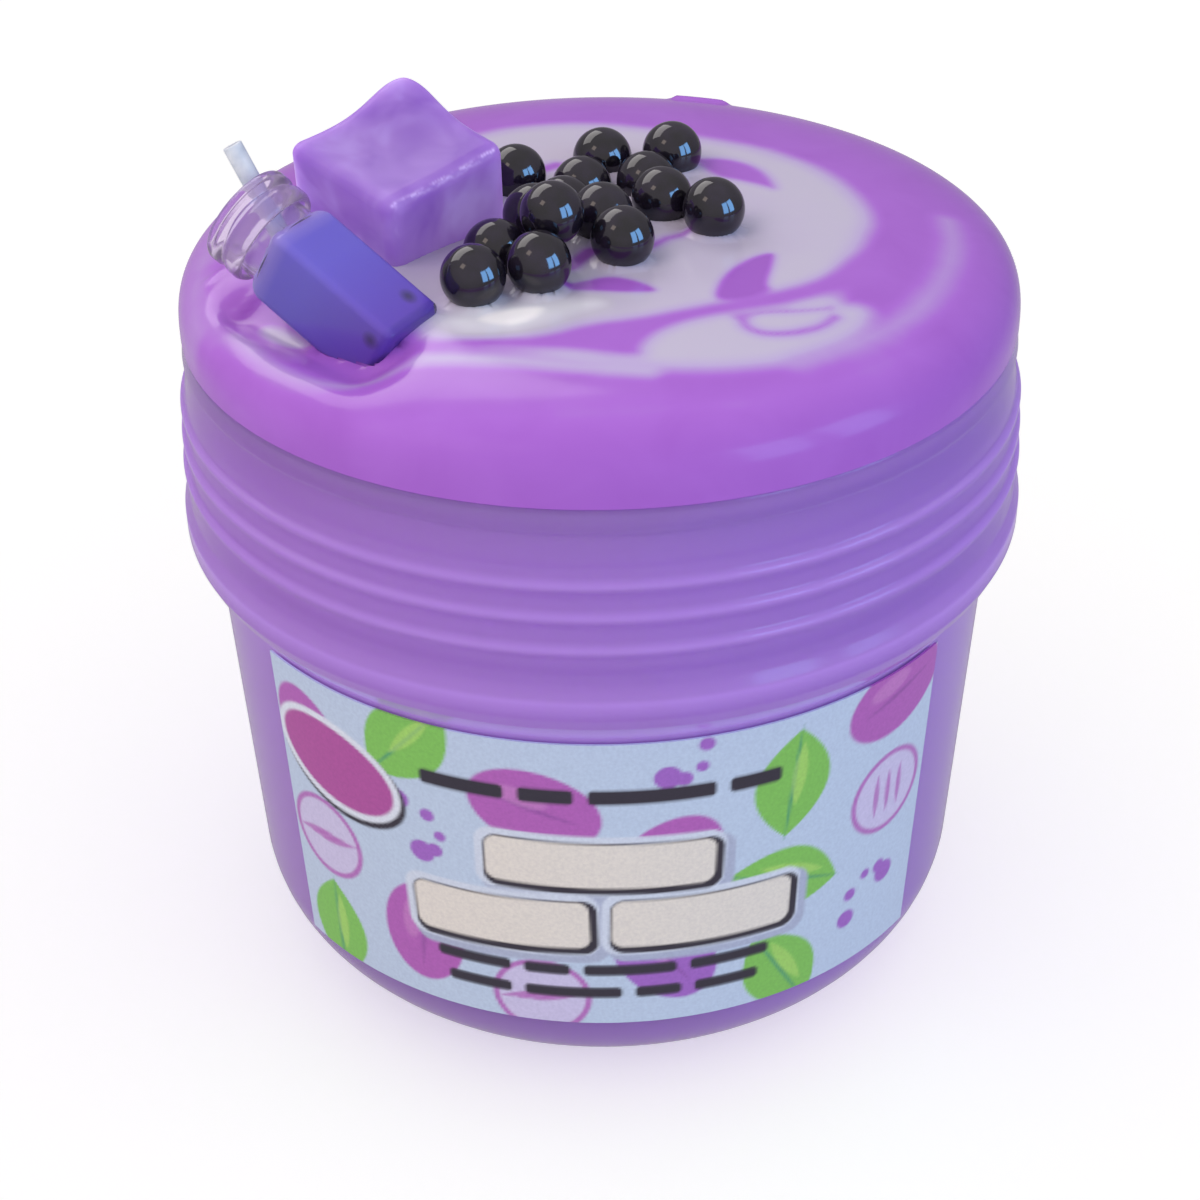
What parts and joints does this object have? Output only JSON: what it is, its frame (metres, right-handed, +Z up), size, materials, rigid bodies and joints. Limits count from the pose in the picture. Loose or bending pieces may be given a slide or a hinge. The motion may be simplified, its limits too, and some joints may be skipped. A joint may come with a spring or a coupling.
{
  "type": "open jar of toy slime",
  "caption": "Open clear jar of glossy purple toy slime dressed as a milk tea, with black beads, an ice cube and a small bottle charm set in its domed top.",
  "frame": {"origin": "middle of the jar's flat base, on the surface that it stands on", "axes": "+Z up along the jar's turned axis, -Y towards the label at the front, +X to the right seen from the front"},
  "size_m": [0.0838, 0.0838, 0.0916],
  "materials": {
    "jar_plastic": "clear moulded plastic, glossy",
    "slime": "glossy wet slime, violet marbled with pale lilac",
    "label_paper": "satin coated paper, printed in flat colours",
    "bead_black": "polished black plastic",
    "ice_resin": "cloudy translucent resin, satin",
    "charm_plastic": "clear plastic, glossy",
    "charm_drink": "translucent violet resin",
    "cap_plastic": "clear plastic, glossy",
    "straw_white": "white plastic, satin"
  },
  "bodies": {
    "root": {"jar": "jar_plastic", "slime": "slime", "label": "label_paper", "pearl_01": "bead_black", "pearl_02": "bead_black", "pearl_03": "bead_black", "pearl_04": "bead_black", "pearl_05": "bead_black", "pearl_06": "bead_black", "pearl_07": "bead_black", "pearl_08": "bead_black", "pearl_09": "bead_black", "pearl_10": "bead_black", "pearl_11": "bead_black", "pearl_12": "bead_black", "pearl_13": "bead_black", "pearl_14": "bead_black", "pearl_15": "bead_black", "ice_cube": "ice_resin", "charm_bottle": "charm_plastic", "charm_drink": "charm_drink", "charm_cap": "cap_plastic", "charm_straw": "straw_white"}
  },
  "joints": []
}
